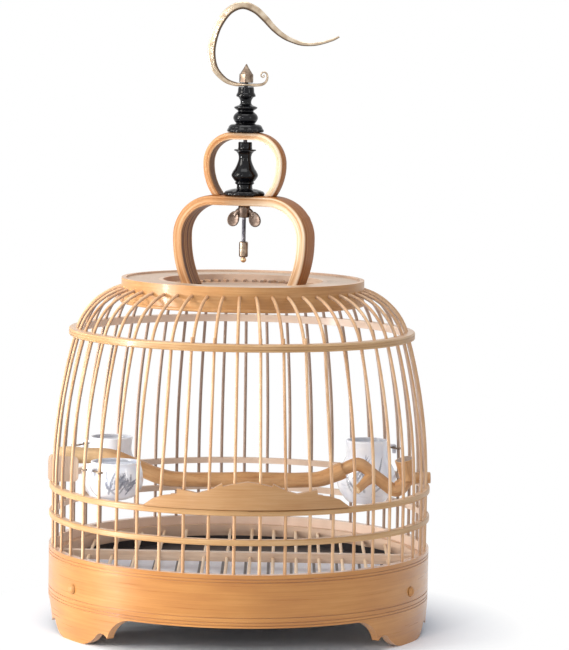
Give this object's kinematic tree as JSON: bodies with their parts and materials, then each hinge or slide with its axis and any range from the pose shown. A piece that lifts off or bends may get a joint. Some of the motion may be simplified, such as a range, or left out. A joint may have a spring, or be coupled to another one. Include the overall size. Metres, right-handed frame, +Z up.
{
  "type": "bamboo bird cage",
  "caption": "Round domed bamboo bird cage on cloud feet, with a sliding front door, a branch perch, porcelain cups, a bent bamboo handle and a swivelling brass hook.",
  "frame": {"origin": "on the cage's axis, on the floor that its feet stand on", "axes": "+Z up, -Y out of the sliding door, +X to the right seen from the door"},
  "size_m": [0.3322, 0.3349, 0.5397],
  "materials": {
    "bamboo": "satin",
    "bamboo_bar": "satin",
    "lacquer": "gloss",
    "brass": "satin",
    "bronze": "satin",
    "steel": "satin",
    "porcelain": "gloss",
    "tray_plastic": "satin",
    "branch": "satin"
  },
  "bodies": {
    "cage": {"base_hoop": "bamboo", "base_feet": "bamboo", "floor_hoop": "bamboo", "floor_crossbeam": "bamboo", "floor_rods": "bamboo_bar", "lower_ring": "bamboo", "upper_ring": "bamboo", "full_bars": "bamboo_bar", "door_stubs": "bamboo_bar", "door_guides": "bamboo_bar", "dome_bars": "bamboo_bar", "waist_ring": "bamboo", "skirt_hoop": "bamboo", "top_board": "bamboo", "inner_hoop": "bamboo", "top_disc": "bamboo", "lower_arch": "bamboo", "upper_arch": "bamboo", "baluster": "lacquer", "finial": "lacquer", "rod": "steel", "ferrule": "brass", "cap_nut": "brass", "perch": "branch", "perch_rest": "porcelain", "cup_wires": "brass"},
    "door": {"door_board": "bamboo", "door_bars": "bamboo_bar"},
    "tray": {"tray": "tray_plastic"},
    "hook": {"hook": "brass"},
    "wing_nut": {"wing_nut": "bronze"},
    "peg_front_left": {"peg_front_left": "bamboo"},
    "peg_front_right": {"peg_front_right": "bamboo"},
    "peg_back": {"peg_back": "bamboo"},
    "cup_front_left": {"cup_front_left": "porcelain"},
    "cup_back_left": {"cup_back_left": "porcelain"},
    "cup_back_right": {"cup_back_right": "porcelain"}
  },
  "joints": [
    {"name": "door_slide", "type": "slide", "parent": "cage", "child": "door", "axis": [0, 0.1297, 0.9916], "range_m": [0, 0.1]},
    {"name": "tray_slide", "type": "slide", "parent": "cage", "child": "tray", "axis": [0, 0, -1], "range_m": [0, 0.04]},
    {"name": "hook_turn", "type": "hinge", "parent": "cage", "child": "hook", "pos_m": [0, 0, 0.4685], "axis": [0, 0, 1], "continuous": true},
    {"name": "wing_nut_turn", "type": "hinge", "parent": "cage", "child": "wing_nut", "pos_m": [0, 0, 0.359], "axis": [0, 0, 1], "continuous": true},
    {"name": "peg_front_left_pull", "type": "slide", "parent": "cage", "child": "peg_front_left", "axis": [-0.866, -0.5, 0], "range_m": [0, 0.012]},
    {"name": "peg_front_right_pull", "type": "slide", "parent": "cage", "child": "peg_front_right", "axis": [0.866, -0.5, 0], "range_m": [0, 0.012]},
    {"name": "peg_back_pull", "type": "slide", "parent": "cage", "child": "peg_back", "axis": [0, 1, 0], "range_m": [0, 0.012]},
    {"name": "cup_front_left_lift", "type": "slide", "parent": "cage", "child": "cup_front_left", "axis": [0, 0, 1], "range_m": [0, 0.02]},
    {"name": "cup_back_left_lift", "type": "slide", "parent": "cage", "child": "cup_back_left", "axis": [0, 0, 1], "range_m": [0, 0.02]},
    {"name": "cup_back_right_lift", "type": "slide", "parent": "cage", "child": "cup_back_right", "axis": [0, 0, 1], "range_m": [0, 0.02]}
  ]
}
